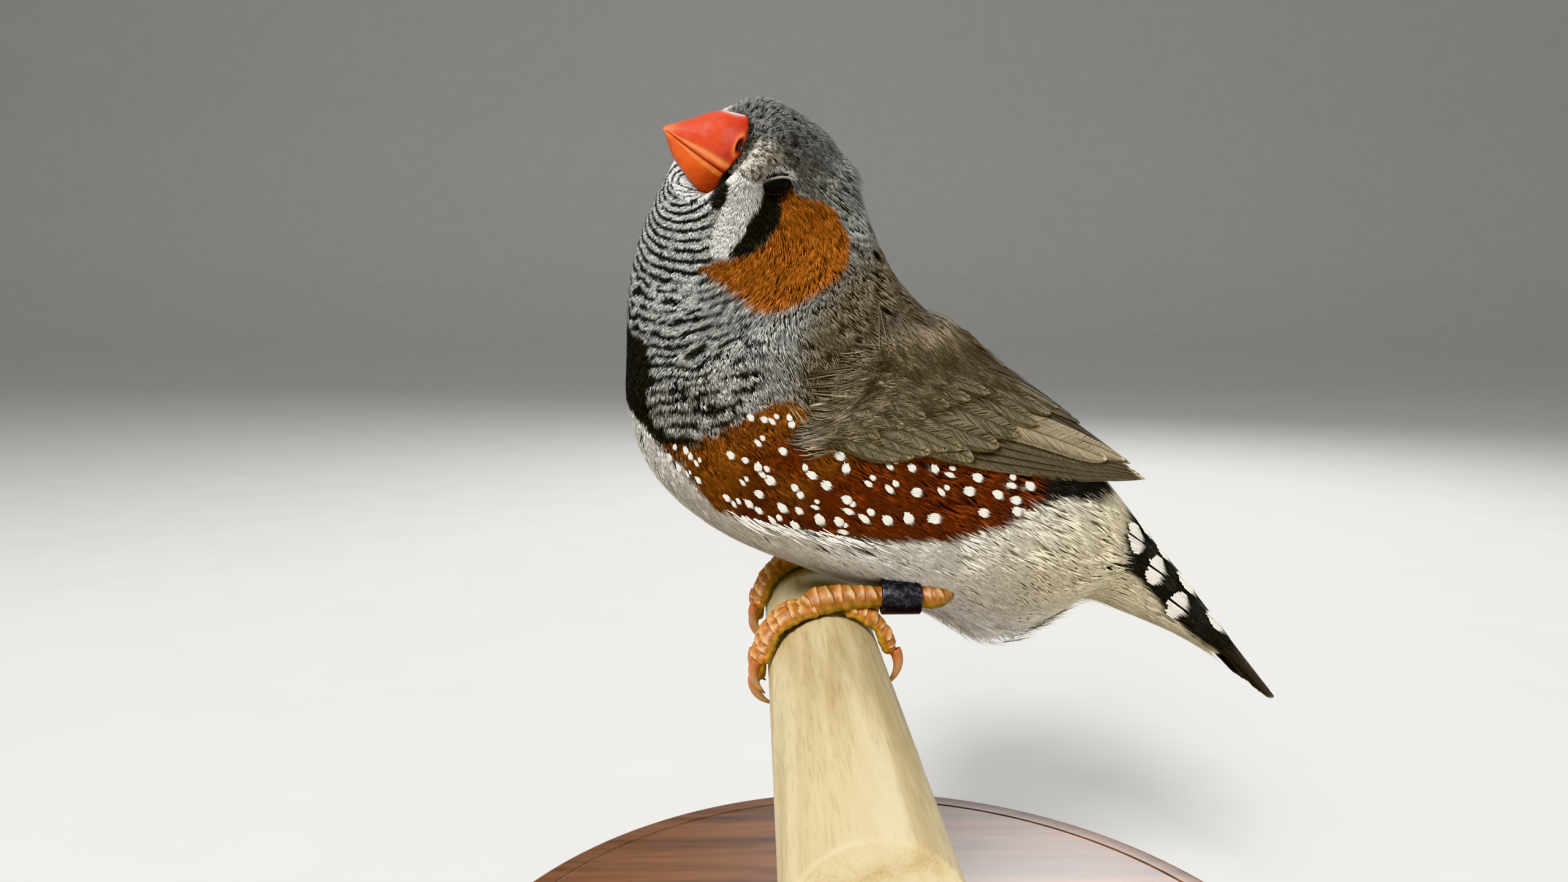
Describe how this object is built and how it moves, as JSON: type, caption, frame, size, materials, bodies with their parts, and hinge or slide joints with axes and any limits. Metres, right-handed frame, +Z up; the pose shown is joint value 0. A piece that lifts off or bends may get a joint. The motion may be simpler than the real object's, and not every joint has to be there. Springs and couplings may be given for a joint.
{
  "type": "zebra finch on perch stand",
  "caption": "Adult male zebra finch as a still life-size model, gripping a short wooden perch on a round display stand, head turned and tilted, with a plain ring on its left leg.",
  "frame": {"origin": "middle of the underside of the round display base", "axes": "+Z up, -X the way the bird's body faces, -Y the bird's left side, perch along Y"},
  "size_m": [0.12, 0.12, 0.1244],
  "materials": {
    "feathers_head": "soft barred and speckled grey plumage",
    "feathers_breast": "soft grey plumage with fine black bars",
    "feathers_body": "soft plumage, chestnut flank with white spots and cream belly",
    "feathers_tail": "stiff black tail feathers with white-marked coverts",
    "feathers_wing": "stiff olive-brown flight feathers with buff edges",
    "bill_upper": "smooth red horn",
    "bill_lower": "smooth orange horn",
    "eye": "dark wet gloss",
    "leg_skin": "scaled orange skin",
    "claw": "translucent pale horn",
    "ring": "matt black",
    "perch_wood": "bare sanded wood",
    "base_wood": "dark satin varnish",
    "rod": "brushed"
  },
  "bodies": {
    "root": {"bill_lower": "bill_lower", "bill_upper": "bill_upper", "claw_left_hind": "claw", "claw_left_inner": "claw", "claw_left_middle": "claw", "claw_left_outer": "claw", "claw_right_hind": "claw", "claw_right_inner": "claw", "claw_right_middle": "claw", "claw_right_outer": "claw", "eye_left": "eye", "eye_right": "eye", "head": "feathers_head", "leg_left": "leg_skin", "leg_right": "leg_skin", "leg_ring": "ring", "neck": "feathers_breast", "perch": "perch_wood", "stand_base": "base_wood", "stand_rod_far": "rod", "stand_rod_near": "rod", "tail": "feathers_tail", "toe_left_hind": "leg_skin", "toe_left_inner": "leg_skin", "toe_left_middle": "leg_skin", "toe_left_outer": "leg_skin", "toe_right_hind": "leg_skin", "toe_right_inner": "leg_skin", "toe_right_middle": "leg_skin", "toe_right_outer": "leg_skin", "trunk": "feathers_body", "wing_left": "feathers_wing", "wing_right": "feathers_wing"}
  },
  "joints": []
}
